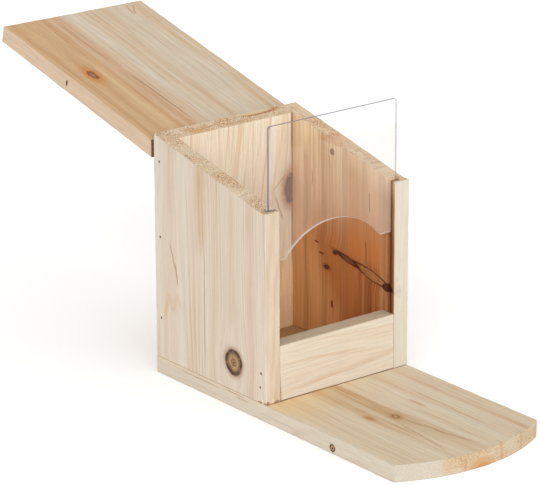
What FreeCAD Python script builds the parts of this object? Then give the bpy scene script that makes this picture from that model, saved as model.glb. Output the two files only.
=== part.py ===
import FreeCAD, Part
import os
from math import cos, pi, radians, sin, sqrt, tan

# Wooden box feeder for birds and squirrels: a tall open-topped box on a long base board, a lid board
# on two butt hinges, and a clear window that slides in two grooves behind the front rail.
#
# Frame: millimetres, X to the right, Y to the back, Z up. The origin lies on the underside of the
# base, half way across it and in line with the front edges of the side panels. The lid is laid right
# back and the window is drawn up, which is how the feeder is set up for filling.

# ---------------------------------------------------------------- driving dimensions
board = 12.0               # thickness of every board
ease = 0.5                 # radius that takes the sharpness off a board's edges

box_width = 122.0          # across the outer faces of the side panels
box_depth = 121.0          # front edge to rear edge of a side panel
side_front_height = 132.0  # of a side panel above the base, at its front
front_land = 5.0           # level top of a side panel ahead of the slope
roof_slope = 12.95         # degrees, from the land up to the rear edge
rail_height = 39.0
rail_recess = 0.4          # rail face behind the side panels' front edges

porch_side = 129.0         # how far the base runs out ahead of the box, at its sides
porch_middle = 145.0       # and at the middle of its curved front

lid_width = 120.0
lid_length = 181.0         # along the face that meets the box
lid_open_slope = 13.7      # degrees above level, laid back
lid_rear_gap = 3.7         # rear face of the box to the lid's plumb end, laid back
lid_face_drop = 3.1        # hinge axis down to the lid's near edge, laid back
lid_seat_gap = 0.2         # closed lid above the box's rear corners

window_width = 108.0
window_height = 92.0
window_thickness = 2.0
window_corner = 2.0        # radius of the two top corners
window_bottom_open = 108.0 # height of the window's lower edge when drawn up
arch_radius = 51.0
arch_rise = 19.5
groove_width = 2.4
groove_depth = 6.0
groove_centre = 6.0        # behind the side panels' front edges

hinge_length = 25.0
hinge_spacing = 72.0       # between the middles of the two hinges
leaf_thickness = 1.1
leaf_height = 14.0         # hinge axis to the free edge of a leaf
knuckle_radius = 1.7
knuckle_gap = 0.2          # side play between neighbouring knuckles
knuckle_relief = 0.5       # leaf cut back from the other leaf's knuckle
pin_radius = 0.6
pin_play = 0.05            # radial, in the lid's knuckle only
pin_head_radius = 1.0
pin_head_rim = 0.6         # radius of a riveted pin head at its outer face
pin_head_height = 0.4
leaf_corner = 1.5

screw_length = 10.0
screw_radius = 1.1
screw_head_radius = 2.2
screw_tip = 2.5
screw_spacing = 15.0       # between the two screws of a leaf
screw_drop = 8.5           # below the hinge axis
screw_slot_width = 0.7
screw_slot_depth = 0.6

nail_length = 28.0
nail_radius = 0.65
nail_head_radius = 0.95
nail_head_height = 0.8
nail_tip = 2.0
nail_sink = 0.3            # head below the board's face
left_back_nails = (41.0, 99.0, 152.0)              # heights, through the left panel into the back
right_back_nails = (38.0, 96.0, 151.0)
left_rail_nails = ((5.4, 33.0), (6.4, 23.0))       # (y, z) through the left panel into the rail
right_rail_nails = ((6.4, 36.0), (6.4, 22.0))
base_side_nails = (22.0, 62.0, 96.0)               # y, up through the base into each side panel
base_cross_nails = (-28.0, 28.0)                   # x, up through the base into the rail and back

overshoot = 1.0            # how far a cutting shape runs past the face that it opens
hair = 1e-6                # smaller than any real difference between two places

# ---------------------------------------------------------------- derived places
half_width = box_width / 2
inner_half = half_width - board
box_floor = board
land_height = box_floor + side_front_height
slope_rise = tan(radians(roof_slope))
rear_height = land_height + slope_rise * (box_depth - front_land)
rail_top = box_floor + rail_height

# The hinge axis lies midway between the lid's near edge laid back and the same edge turned over, when
# it rests just clear of the side panels' rear corners. Turning by 178.7 degrees closes the lid.
axis_y = box_depth + lid_rear_gap / 2
axis_z = rear_height + lid_seat_gap - lid_face_drop
lid_near_z = axis_z - lid_face_drop
lid_end_y = box_depth + lid_rear_gap


def roof_height(y):
    """Height of a side panel's top at a distance y behind its front edge."""
    return land_height + slope_rise * max(0.0, y - front_land)


# ---------------------------------------------------------------- shape helpers
def vec(x, y, z):
    return FreeCAD.Vector(x, y, z)


def block(x0, x1, y0, y1, z0, z1):
    return Part.makeBox(x1 - x0, y1 - y0, z1 - z0, vec(x0, y0, z0))


def eased(solid, radius=ease):
    """The solid with every edge rounded over."""
    return solid.makeFillet(radius, solid.Edges)


def profile_across_x(points, x0, x1):
    """A (y, z) outline extruded from x0 to x1."""
    wire = Part.makePolygon([vec(x0, y, z) for y, z in points + points[:1]])
    return Part.Face(wire).extrude(vec(x1 - x0, 0, 0))


def write(name, shape):
    shape.exportStep(os.path.join("parts", name + ".step"))


# ---------------------------------------------------------------- nails
# A nail is described by the centre of the mouth it was driven through, its direction and its length.
def nail(mouth, direction):
    head = mouth + direction * nail_sink
    neck = head + direction * nail_head_height
    point = mouth + direction * nail_length
    shank_end = point - direction * nail_tip
    pieces = [
        Part.makeCylinder(nail_head_radius, nail_head_height, head, direction),
        Part.makeCylinder(nail_radius, (shank_end - neck).Length, neck, direction),
        Part.makeCone(nail_radius, 0, nail_tip, shank_end, direction),
    ]
    return pieces[0].fuse(pieces[1:]).removeSplitter()


def nail_path(mouth, direction):
    """What a driven nail takes out of the boards: its own body and the dimple over its head."""
    dimple = Part.makeCylinder(nail_head_radius, nail_sink, mouth, direction)
    return nail(mouth, direction).fuse(dimple)


def side_nails(side, places):
    """Nails through a side panel's outer face. side is -1 for the left panel and 1 for the right."""
    return [(vec(side * half_width, y, z), vec(-side, 0, 0)) for y, z in places]


def base_nails(places):
    """Nails driven up through the base."""
    return [(vec(x, y, 0), vec(0, 0, 1)) for x, y in places]


back_nail_y = box_depth - board / 2
rail_nail_y = rail_recess + board / 2
panel_middle = half_width - board / 2

nail_groups = {
    "left_back_nails": side_nails(-1, [(back_nail_y, z) for z in left_back_nails]),
    "right_back_nails": side_nails(1, [(back_nail_y, z) for z in right_back_nails]),
    "left_rail_nails": side_nails(-1, left_rail_nails),
    "right_rail_nails": side_nails(1, right_rail_nails),
    "base_side_nails": base_nails([(side * panel_middle, y) for side in (-1, 1) for y in base_side_nails]),
    "base_back_nails": base_nails([(x, back_nail_y) for x in base_cross_nails]),
    "base_rail_nails": base_nails([(x, rail_nail_y) for x in base_cross_nails]),
}


def with_nail_holes(shape, *groups):
    paths = [nail_path(*place) for group in groups for place in nail_groups[group]]
    return shape.cut(paths)


# ---------------------------------------------------------------- boards
def base_board():
    rear_left = vec(-half_width, box_depth, 0)
    front_left = vec(-half_width, -porch_side, 0)
    front_middle = vec(0, -porch_middle, 0)
    front_right = vec(half_width, -porch_side, 0)
    rear_right = vec(half_width, box_depth, 0)
    outline = Part.Wire([
        Part.LineSegment(rear_left, front_left).toShape(),
        Part.Arc(front_left, front_middle, front_right).toShape(),
        Part.LineSegment(front_right, rear_right).toShape(),
        Part.LineSegment(rear_right, rear_left).toShape(),
    ])
    plank = eased(Part.Face(outline).extrude(vec(0, 0, board)))
    return with_nail_holes(plank, "base_side_nails", "base_back_nails", "base_rail_nails")


def side_panel(side):
    outline = [
        (0, box_floor),
        (box_depth, box_floor),
        (box_depth, rear_height),
        (front_land, land_height),
        (0, land_height),
    ]
    x0, x1 = sorted((side * inner_half, side * half_width))
    panel = eased(profile_across_x(outline, x0, x1))
    groove_x = sorted((side * (inner_half - overshoot), side * (inner_half + groove_depth)))
    groove_y = (groove_centre - groove_width / 2, groove_centre + groove_width / 2)
    groove_z = (box_floor - overshoot, roof_height(groove_y[1]) + overshoot)
    panel = panel.cut(block(*groove_x, *groove_y, *groove_z))
    word = "left" if side < 0 else "right"
    return with_nail_holes(panel, word + "_back_nails", word + "_rail_nails", "base_side_nails")


def back_panel():
    front_y = box_depth - board
    outline = [
        (front_y, box_floor),
        (box_depth, box_floor),
        (box_depth, rear_height),
        (front_y, roof_height(front_y)),
    ]
    panel = eased(profile_across_x(outline, -inner_half, inner_half))
    panel = with_nail_holes(panel, "left_back_nails", "right_back_nails", "base_back_nails")
    return panel.cut([screw_body(*place) for place in body_screw_places])


def front_rail():
    rail = block(-inner_half, inner_half, rail_recess, rail_recess + board, box_floor, rail_top)
    return with_nail_holes(eased(rail), "left_rail_nails", "right_rail_nails", "base_rail_nails")


def lid_board():
    """The lid laid back: its plumb end faces the box, its other end is cut square."""
    slope = radians(lid_open_slope)
    along = (cos(slope), sin(slope))
    down = (sin(slope), -cos(slope))
    near = (lid_end_y, lid_near_z)
    far = (near[0] + lid_length * along[0], near[1] + lid_length * along[1])
    far_low = (far[0] + board * down[0], far[1] + board * down[1])
    near_low = (lid_end_y, lid_near_z - board / cos(slope))
    lid = eased(profile_across_x([near, far, far_low, near_low], -lid_width / 2, lid_width / 2))
    return lid.cut([screw_body(*place) for place in lid_screw_places])


# ---------------------------------------------------------------- window
def window_panel():
    """A clear sheet with an arch cut out of its lower edge."""
    half = window_width / 2
    low = window_bottom_open
    high = low + window_height
    arch_top = low + arch_rise
    arch_half = sqrt(arch_radius ** 2 - (arch_radius - arch_rise) ** 2)
    bend = window_corner * (1 - cos(pi / 4))
    y0 = groove_centre - window_thickness / 2

    def at(x, z):
        return vec(x, y0, z)

    def line(a, b):
        return Part.LineSegment(at(*a), at(*b)).toShape()

    def arc(a, through, b):
        return Part.Arc(at(*a), at(*through), at(*b)).toShape()

    outline = Part.Wire([
        line((-half, low), (-half, high - window_corner)),
        arc((-half, high - window_corner), (-half + bend, high - bend), (-half + window_corner, high)),
        line((-half + window_corner, high), (half - window_corner, high)),
        arc((half - window_corner, high), (half - bend, high - bend), (half, high - window_corner)),
        line((half, high - window_corner), (half, low)),
        line((half, low), (arch_half, low)),
        arc((arch_half, low), (0, arch_top), (-arch_half, low)),
        line((-arch_half, low), (-half, low)),
    ])
    return Part.Face(outline).extrude(vec(0, window_thickness, 0))


# ---------------------------------------------------------------- hinges
# A butt hinge with three knuckles: the outer two belong to the body leaf, the middle one to the lid
# leaf. Laid back, the two leaves stand face to face below the axis, the body leaf on the back panel
# and the lid leaf on the lid's plumb end.
knuckle_length = (hinge_length - 2 * knuckle_gap) / 3


def knuckle_span(index):
    """Start and end along the hinge, from its left end, of knuckle 0, 1 or 2."""
    start = index * (knuckle_length + knuckle_gap)
    return start, start + knuckle_length


def hinge_leaf(middle_x, toward_lid):
    """One leaf. toward_lid is -1 for the leaf on the box and 1 for the leaf on the lid."""
    left = middle_x - hinge_length / 2
    seat = axis_y + toward_lid * lid_rear_gap / 2
    y0, y1 = sorted((seat, seat - toward_lid * leaf_thickness))
    low = axis_z - leaf_height
    leaf = block(left, left + hinge_length, y0, y1, low, axis_z)
    low_corners = [e for e in leaf.Edges if e.BoundBox.ZMax < low + hair and e.BoundBox.XLength < hair]
    leaf = leaf.makeFillet(leaf_corner, low_corners)
    own = (1,) if toward_lid > 0 else (0, 2)
    other = (0, 2) if toward_lid > 0 else (1,)
    relief_low = axis_z - knuckle_radius - knuckle_relief
    for index in other:
        start, end = knuckle_span(index)
        x0 = left + start - knuckle_gap
        x1 = left + end + knuckle_gap
        relief = block(x0, x1, y0 - overshoot, y1 + overshoot, relief_low, axis_z + overshoot)
        leaf = leaf.cut(relief)
    for index in own:
        start, _ = knuckle_span(index)
        place = vec(left + start, axis_y, axis_z)
        leaf = leaf.fuse(Part.makeCylinder(knuckle_radius, knuckle_length, place, vec(1, 0, 0)))
    bore = pin_radius + (pin_play if toward_lid > 0 else 0)
    leaf = leaf.cut(Part.makeCylinder(bore, hinge_length, vec(left, axis_y, axis_z), vec(1, 0, 0)))
    places = lid_screw_places if toward_lid > 0 else body_screw_places
    own_places = [place for place in places if abs(place[0].x - middle_x) < hinge_length / 2]
    return leaf.cut([screw_body(*place) for place in own_places]).removeSplitter()


def hinge_pin(middle_x):
    """A pin with a low riveted head at each end."""
    left = vec(middle_x - hinge_length / 2, axis_y, axis_z)
    right = vec(middle_x + hinge_length / 2, axis_y, axis_z)
    out = vec(1, 0, 0)
    rod = Part.makeCylinder(pin_radius, hinge_length, left, out)
    heads = [
        Part.makeCone(pin_head_radius, pin_head_rim, pin_head_height, right, out),
        Part.makeCone(pin_head_radius, pin_head_rim, pin_head_height, left, out.negative()),
    ]
    return rod.fuse(heads).removeSplitter()


# ---------------------------------------------------------------- hinge screws
# A screw is described by the middle of its head's face and its direction.
def screw_body(face, direction):
    """A screw without its slot, which is also the hole it fills. Its countersink is 90 degrees."""
    head_height = screw_head_radius - screw_radius
    neck = face + direction * head_height
    shank_end = face + direction * (screw_length - screw_tip)
    pieces = [
        Part.makeCone(screw_head_radius, screw_radius, head_height, face, direction),
        Part.makeCylinder(screw_radius, (shank_end - neck).Length, neck, direction),
        Part.makeCone(screw_radius, 0, screw_tip, shank_end, direction),
    ]
    return pieces[0].fuse(pieces[1:]).removeSplitter()


def slotted_screw(face, direction):
    slot = block(
        face.x - screw_head_radius,
        face.x + screw_head_radius,
        *sorted((face.y - direction.y * overshoot, face.y + direction.y * screw_slot_depth)),
        face.z - screw_slot_width / 2,
        face.z + screw_slot_width / 2,
    )
    return screw_body(face, direction).cut(slot)


def screw_places(face_y, direction):
    """Two screws to a leaf, two leaves."""
    return [
        (vec(hinge + offset, face_y, axis_z - screw_drop), direction)
        for hinge in (-hinge_spacing / 2, hinge_spacing / 2)
        for offset in (-screw_spacing / 2, screw_spacing / 2)
    ]


body_screw_places = screw_places(box_depth + leaf_thickness, vec(0, -1, 0))
lid_screw_places = screw_places(lid_end_y - leaf_thickness, vec(0, 1, 0))


# ---------------------------------------------------------------- write every piece
os.makedirs("parts", exist_ok=True)

write("base_board", base_board())
write("left_side_panel", side_panel(-1))
write("right_side_panel", side_panel(1))
write("back_panel", back_panel())
write("front_rail", front_rail())
write("lid_board", lid_board())
write("window_panel", window_panel())

for group, places in nail_groups.items():
    write(group, Part.makeCompound([nail(*place) for place in places]))

for word, middle_x in (("left", -hinge_spacing / 2), ("right", hinge_spacing / 2)):
    write(word + "_hinge_body_leaf", hinge_leaf(middle_x, -1))
    write(word + "_hinge_lid_leaf", hinge_leaf(middle_x, 1))
    write(word + "_hinge_pin", hinge_pin(middle_x))

write("hinge_body_screws", Part.makeCompound([slotted_screw(*place) for place in body_screw_places]))
write("hinge_lid_screws", Part.makeCompound([slotted_screw(*place) for place in lid_screw_places]))
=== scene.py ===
import math

import bmesh
import bpy
from mathutils import Matrix, Vector, noise


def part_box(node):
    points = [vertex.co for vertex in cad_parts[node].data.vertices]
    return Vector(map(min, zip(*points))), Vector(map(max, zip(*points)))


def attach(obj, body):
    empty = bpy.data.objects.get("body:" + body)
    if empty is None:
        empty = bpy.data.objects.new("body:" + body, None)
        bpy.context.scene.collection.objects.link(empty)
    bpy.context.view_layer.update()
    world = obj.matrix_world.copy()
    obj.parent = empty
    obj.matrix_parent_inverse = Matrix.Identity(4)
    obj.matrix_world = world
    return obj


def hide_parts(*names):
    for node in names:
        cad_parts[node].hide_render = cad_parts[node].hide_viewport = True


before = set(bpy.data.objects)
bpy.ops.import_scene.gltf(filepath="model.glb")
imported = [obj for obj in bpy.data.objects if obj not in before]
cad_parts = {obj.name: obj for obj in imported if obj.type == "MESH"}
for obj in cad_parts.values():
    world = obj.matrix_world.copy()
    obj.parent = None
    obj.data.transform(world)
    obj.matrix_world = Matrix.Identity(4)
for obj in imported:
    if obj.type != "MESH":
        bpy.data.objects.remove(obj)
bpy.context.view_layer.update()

MM = 0.001
ALONG_X = Vector((1, 0, 0))
ALONG_Y = Vector((0, 1, 0))
ALONG_Z = Vector((0, 0, 1))


# ------------------------------------------------------------------ colours
def tone(red, green, blue):
    """A colour given as 8-bit screen values, as the linear RGBA that shaders take."""
    def linear(value):
        value /= 255
        return value / 12.92 if value <= 0.04045 else ((value + 0.055) / 1.055) ** 2.4
    return (linear(red), linear(green), linear(blue), 1.0)


# ------------------------------------------------------------------ arithmetic inside a material
class Field:
    """A number that varies over a surface. Arithmetic on it adds Math nodes to its material."""

    def __init__(self, graph, socket):
        self.graph = graph
        self.socket = socket

    def __add__(self, other):
        return self.graph.math("ADD", self, other)

    def __sub__(self, other):
        return self.graph.math("SUBTRACT", self, other)

    def __rsub__(self, other):
        return self.graph.math("SUBTRACT", other, self)

    def __mul__(self, other):
        return self.graph.math("MULTIPLY", self, other)

    def __truediv__(self, other):
        return self.graph.math("DIVIDE", self, other)

    __radd__ = __add__
    __rmul__ = __mul__


class Graph:
    """The node tree of one material."""

    def __init__(self, name):
        self.material = bpy.data.materials.new(name)
        self.material.use_nodes = True
        self.tree = self.material.node_tree
        self.shader = self.tree.nodes["Principled BSDF"]

    def give(self, value, socket):
        if isinstance(value, Field):
            self.tree.links.new(value.socket, socket)
        else:
            socket.default_value = value

    def node(self, kind, values, **settings):
        made = self.tree.nodes.new(kind)
        for key, setting in settings.items():
            setattr(made, key, setting)
        for key, value in values.items():
            self.give(value, made.inputs[key])
        return made

    def math(self, operation, *values):
        made = self.node("ShaderNodeMath", dict(enumerate(values)), operation=operation)
        return Field(self, made.outputs[0])

    def size(self, value):
        return self.math("ABSOLUTE", value)

    def fraction(self, value):
        return self.math("FRACT", value)

    def bell(self, value, width):
        """1 where value is 0, falling off to either side over about width."""
        scaled = value / width
        return self.math("EXPONENT", scaled * scaled * -1.0)

    def step(self, value, low, high):
        """0 below low, 1 above high, smooth in between. low above high turns it round."""
        turned = low > high
        values = {"Value": value, "From Min": min(low, high), "From Max": max(low, high)}
        values.update({"To Min": 1.0, "To Max": 0.0} if turned else {"To Min": 0.0, "To Max": 1.0})
        made = self.node("ShaderNodeMapRange", values, interpolation_type="SMOOTHSTEP")
        return Field(self, made.outputs["Result"])

    def vector(self, x, y, z):
        return Field(self, self.node("ShaderNodeCombineXYZ", {0: x, 1: y, 2: z}).outputs[0])

    def noise(self, place, seed, detail=2.0, roughness=0.5):
        values = {"Vector": place, "W": seed, "Scale": 1.0, "Detail": detail, "Roughness": roughness}
        made = self.node("ShaderNodeTexNoise", values, noise_dimensions="4D")
        return Field(self, made.outputs[0])

    def ramp(self, value, stops):
        """A colour that runs through the stops, each a place and a colour, as value rises."""
        made = self.node("ShaderNodeValToRGB", {0: value})
        made.color_ramp.interpolation = "EASE"
        while len(made.color_ramp.elements) < len(stops):
            made.color_ramp.elements.new(0.5)
        for element, (place, colour) in zip(made.color_ramp.elements, stops):
            element.position = place
            element.color = colour
        return Field(self, made.outputs[0])

    def mix(self, share, first, second, blend="MIX"):
        values = {0: share, 6: first, 7: second}
        made = self.node("ShaderNodeMix", values, data_type="RGBA", blend_type=blend)
        return Field(self, made.outputs[2])

    def grey(self, value):
        """A colour whose three channels are all the same number."""
        return Field(self, self.node("ShaderNodeCombineColor", {0: value, 1: value, 2: value}).outputs[0])

    def object_place(self):
        return self.node("ShaderNodeTexCoord", {}).outputs["Object"]

    def dot(self, vector, direction):
        made = self.node("ShaderNodeVectorMath", {1: tuple(direction)}, operation="DOT_PRODUCT")
        self.tree.links.new(vector, made.inputs[0])
        return Field(self, made.outputs["Value"])

    def bump(self, height, distance, strength=1.0):
        values = {"Height": height, "Distance": distance, "Strength": strength}
        made = self.node("ShaderNodeBump", values)
        self.tree.links.new(made.outputs["Normal"], self.shader.inputs["Normal"])


# ------------------------------------------------------------------ wood
class Wood(Graph):
    """The wood of one board. It has its own axes, in millimetres from the board's middle: u along the
    grain, v across its face and w through its thickness. All of its pattern is solid, so that faces,
    edges and sawn ends show the same rings, as straight grain, as arches or as arcs."""

    def __init__(self, name, frame_of_board, seed):
        super().__init__(name)
        middle, along, across = frame_of_board
        place = self.object_place()

        def coordinate(way):
            return (self.dot(place, way) - middle.dot(way)) * (1 / MM)

        self.seed = seed
        self.along = along
        self.u = coordinate(along)
        self.v = coordinate(across)
        self.w = coordinate(along.cross(across))
        self.bent = self.v

    def mottle(self, across, fineness, offset, detail=2.0, roughness=0.5):
        """Noise with its own fineness along, across and through the board. across is v, or bent for
        noise that follows the grain."""
        place = self.vector(self.u * fineness[0], across * fineness[1], self.w * fineness[2])
        return self.noise(place, self.seed + offset, detail, roughness)

    def on_face(self, mark, low, high):
        """1 towards the face that a mark is on and 0 behind it, or 1 all over for a mark without one."""
        return self.step(self.w * mark["face"], low, high) if "face" in mark else 1.0

    def bend(self, knots):
        """Bows the grain out round each knot. Gives each knot's own axes and how far out a place is."""
        shells = []
        for index, knot in enumerate(knots):
            du, dv = self.u - knot["at"][0], self.v - knot["at"][1]
            turn = math.radians(knot.get("turn", 0))
            ku = (du * math.cos(turn) + dv * math.sin(turn)) / knot["size"][0]
            kv = (dv * math.cos(turn) - du * math.sin(turn)) / knot["size"][1]
            if knot.get("spike"):
                shell = ku * ku + self.size(kv)
            else:
                shell = self.math("SQRT", ku * ku + kv * kv)
            ragged = self.mottle(self.v, (0.3, 0.3, 0.1), index * 3.1, 3.0)
            shells.append((ku, kv, shell + (ragged - 0.5) * knot.get("ragged", 0.35)))
            push = self.math("EXPONENT", (ku * ku * 0.2 + kv * kv * 0.3) * -1.0)
            self.bent = self.bent - dv * push * self.on_face(knot, -1.0, 3.0) * knot.get("push", 0.6)
        return shells

    def late_share(self, rings):
        """Growth rings about a pith that wanders along the board: 1 in dark late wood, 0 between."""
        sway = self.mottle(self.v, (0.008, 0.015, 0.015), 11.0, 1.0)
        swell = self.mottle(self.v, (0.022, 0.06, 0.06), 17.0)
        self.bent = self.bent + (sway - 0.5) * rings["sway"] + (swell - 0.5) * rings["swell"]
        side = self.bent - rings["pith"][0]
        depth = self.w - rings["pith"][1]
        radius = self.math("SQRT", side * side + depth * depth) + self.u * rings["taper"]
        uneven = self.noise(self.vector(radius * 0.13, self.u * 0.0012, 0.0), self.seed + 5.0)
        count = radius / rings["pitch"] + (uneven - 0.5) * 3.0
        part = self.fraction(count)
        year = self.noise(self.vector(count * 0.7, self.u * 0.006, 0.0), self.seed + 2.0, 1.0)
        patch = self.mottle(self.bent, (0.012, 0.06, 0.06), 7.0)
        late = self.step(part, rings["early_share"], 0.9) * self.step(part, 1.0, 0.92)
        return late * self.step(year, 0.3, 0.68) * self.step(patch, 0.3, 0.62)

    def clear_wood(self, tints):
        """Slow changes of colour across the board, and streaks along it."""
        broad = self.mottle(self.bent, (0.004, 0.07, 0.07), 29.0, 1.0)
        streak = self.mottle(self.bent, (0.009, 0.42, 0.42), 31.0, 3.0, 0.6)
        return self.ramp(broad * 0.55 + streak * 0.45, tints)

    def faded(self, colour, fades, where=None):
        for fade in fades:
            if fade.get("where") == where:
                u_share, v_share, w_share = fade["way"]
                run = self.u * u_share + self.v * v_share + self.w * w_share
                cloud = self.mottle(self.bent, (0.03, 0.2, 0.1), 71.0)
                run = run + (cloud - 0.5) * fade.get("cloud", 18.0)
                mask = self.step(run, fade["from"], fade["to"]) * self.on_face(fade, 2.0, 5.0)
                if "half_width" in fade:
                    mask = mask * self.step(self.size(self.v), fade["half_width"], fade["half_width"] - 1.0)
                colour = self.mix(mask * fade["share"], colour, fade["tone"])
        return colour

    def banded(self, colour, bands):
        for index, band in enumerate(bands):
            ragged = self.mottle(self.bent, (0.02, 0.25, 0.1), 37.0 + index, 3.0)
            broken = self.mottle(self.bent, (0.02, 0.7, 0.7), 41.0 + index, 3.0)
            mask = self.bell(self.bent - band["at"] + (ragged - 0.5) * band["wide"] * 1.1, band["wide"])
            if "span" in band:
                start, end = band["span"]
                ease = band.get("ease", 14.0)
                mask = mask * self.step(self.u, start, start + ease) * self.step(self.u, end, end - ease)
            mask = mask * self.on_face(band, 2.0, 5.0) * self.step(broken, 0.2, 0.7)
            colour = self.mix(mask * band["share"], colour, band["tone"])
        return colour

    def lined(self, colour, lines):
        for index, line in enumerate(lines):
            start, end = Vector(line["from"]), Vector(line["to"])
            length = (end - start).length
            way = (end - start) / length
            du, dv = self.u - start.x, self.v - start.y
            run = du * way.x + dv * way.y
            along_face = self.vector(self.u * 0.05, self.v * 0.05, 0.0)
            wobble = self.noise(along_face, self.seed + 43.0 + index, 3.0)
            off = self.size(dv * way.x - du * way.y + (wobble - 0.5) * line.get("wobble", 2.0))
            mask = self.step(off, line["wide"], line["wide"] * 0.3) * self.on_face(line, 1.0, 4.0)
            mask = mask * self.step(run, 0.0, length * 0.25) * self.step(run, length, length * 0.75)
            colour = self.mix(mask * line["share"], colour, line["tone"])
        return colour

    def knotted(self, colour, knots, shells):
        for index, (knot, (ku, kv, shell)) in enumerate(zip(knots, shells)):
            here = self.on_face(knot, -1.0, 2.0)
            halo = self.step(shell, knot.get("glow", 2.0), 0.9)
            colour = self.mix(halo * halo * knot.get("halo", 0.35) * here, colour, knot["halo_tone"])

            around = self.vector(ku / shell * 2.6, kv / shell * 2.6, shell * 0.5)
            spin = self.noise(around, self.seed + 67.0 + index, 2.0, 0.7)
            flecks = self.mottle(self.v, (0.8, 0.8, 0.8), 47.0 + index, 3.0, 0.7)
            ring = self.step(self.fraction(shell * knot.get("rings", 3.5) + spin * 0.4), 0.35, 0.95)
            core = self.mix(ring * knot.get("ring_share", 0.35), knot["core"], knot["rim"])
            core = self.mix(self.step(spin, 0.55, 0.68) * knot.get("rays", 0.4), core, knot["rim"])
            core = self.mix(self.step(flecks, 0.56, 0.7) * knot.get("flecks", 0.4), core, knot["rim"])
            inside = self.step(shell, 1.02, 0.88)
            colour = self.mix(inside * knot.get("core_share", 0.95) * here, colour, core)

            inner = 1.0 - knot.get("rim_wide", 0.25)
            rim = self.step(shell, inner - 0.1, inner + 0.06) * self.step(shell, 1.12, 0.98)
            rim = rim * self.step(spin, 0.2, 0.5) * knot.get("rim_share", 0.9)
            colour = self.mix(rim * here, colour, knot["rim"])
            if "pip" in knot:
                pip = self.step(shell, knot["pip"], knot["pip"] * 0.4)
                colour = self.mix(pip * here, colour, knot["pip_tone"])
        return colour

    def sawn(self, tones, late_share, pores, torn):
        """The look of a sawn end, which soaks up dirt and shows torn pores. The tones are the two of
        the ground, the dark of the pores and the pale of the fibres between them."""
        ground, torn_ground, dark, pale = tones
        colour = self.mix(self.step(torn, 0.35, 0.65), ground, torn_ground)
        colour = self.mix(late_share * 0.25, colour, dark)
        open_share = self.step(torn, 0.42, 0.56) * 0.5 + 0.42
        colour = self.mix(self.step(pores, 0.52, 0.6) * open_share, colour, dark)
        return self.mix(self.step(pores, 0.46, 0.38) * 0.7, colour, pale)

    def pitted(self, colour, pits):
        for index, pit in enumerate(pits):
            places = zip((self.u, self.v, self.w), pit["at"], pit["size"])
            pu, pv, pw = ((place - middle) / reach for place, middle, reach in places)
            torn_edge = self.mottle(self.v, (1.2, 1.2, 1.2), 73.0 + index)
            away = self.math("SQRT", pu * pu + pv * pv + pw * pw) + (torn_edge - 0.5) * 0.8
            colour = self.mix(self.step(away, 1.0, 0.7) * pit["share"], colour, pit["tone"])
        return colour


def knot(at, size, core, rim, halo_tone, **more):
    """A knot at (u, v), with its half lengths along and across the board and its tones."""
    return {"at": at, "size": size, "core": core, "rim": rim, "halo_tone": halo_tone, **more}


def fade(way, start, end, share, colour, **more):
    """A tone that sets in where (u, v, w) weighted by way runs from start to end."""
    return {"way": way, "from": start, "to": end, "share": share, "tone": colour, **more}


def band(at, wide, share, colour, **more):
    """A streak along the grain at one v."""
    return {"at": at, "wide": wide, "share": share, "tone": colour, **more}


def line(start, end, wide, share, colour, **more):
    """A crack or a mark from one (u, v) to another."""
    return {"from": start, "to": end, "wide": wide, "share": share, "tone": colour, **more}


def pit(at, size, share, colour):
    """An ellipsoid of another tone at (u, v, w)."""
    return {"at": at, "size": size, "share": share, "tone": colour}


def wood(name, frame_of_board, seed, tints, late, rings, end_tones, knots=(), bands=(), lines=(), fades=(),
         pits=(), grain=1.0, threads=0.2):
    """The material of one board. late is the tone of its late wood and of its fine threads, and grain
    the strength of its fibres. A mark with a face is only on the side that w times face points to. A
    fade lies under the rings, unless its where says that it lies on the sawn ends or everywhere. A
    spike is a knot that the saw has cut lengthwise."""
    g = Wood(name, frame_of_board, seed)
    shells = g.bend(knots)
    late_share = g.late_share(rings)

    colour = g.faded(g.clear_wood(tints), fades)
    colour = g.mix(late_share * rings["contrast"], colour, late)
    thread = g.mottle(g.bent, (0.006, 0.95, 0.95), 79.0)
    colour = g.mix(g.step(thread, 0.54, 0.68) * threads, colour, late)
    colour = g.banded(colour, bands)
    colour = g.lined(colour, lines)
    colour = g.knotted(colour, knots, shells)

    normal = g.node("ShaderNodeTexCoord", {}).outputs["Normal"]
    end = g.step(g.size(g.dot(normal, g.along)), 0.4, 0.8)
    pores = g.mottle(g.v, (0.3, 1.2, 1.2), 53.0, 2.0, 0.6)
    torn = g.mottle(g.v, (0.1, 0.05, 0.08), 57.0)
    sawn = g.faded(g.sawn(end_tones, late_share, pores, torn), fades, "ends")
    colour = g.mix(end * 0.92, colour, sawn)
    colour = g.faded(colour, fades, "everywhere")
    colour = g.pitted(colour, pits)

    fibre = g.mottle(g.bent, (0.04, 1.7, 1.7), 23.0, 4.0, 0.65)
    dashes = g.mottle(g.bent, (0.16, 3.2, 3.2), 27.0)
    shade = g.step(fibre, 0.25, 0.75) * 0.15 * grain + 1.0 - 0.08 * grain
    shade = shade - g.step(dashes, 0.58, 0.72) * 0.12 * grain
    g.give(g.mix(1.0, colour, g.grey(shade), "MULTIPLY"), g.shader.inputs["Base Color"])

    saw_marks = g.mottle(g.v, (1.1, 0.05, 0.05), 59.0)
    height = fibre * 0.9 + late_share * 0.25 + saw_marks * 0.25 + end * (pores * 1.8 + torn)
    g.bump(height, 0.2 * MM, 0.8)
    g.give(g.step(fibre + late_share * 0.2, 0.2, 1.0) * 0.14 + 0.62, g.shader.inputs["Roughness"])
    g.shader.inputs["Specular IOR Level"].default_value = 0.25
    return g.material


# ------------------------------------------------------------------ boards
CELL = 5 * MM
HOLLOW = 0.06 * MM


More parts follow.
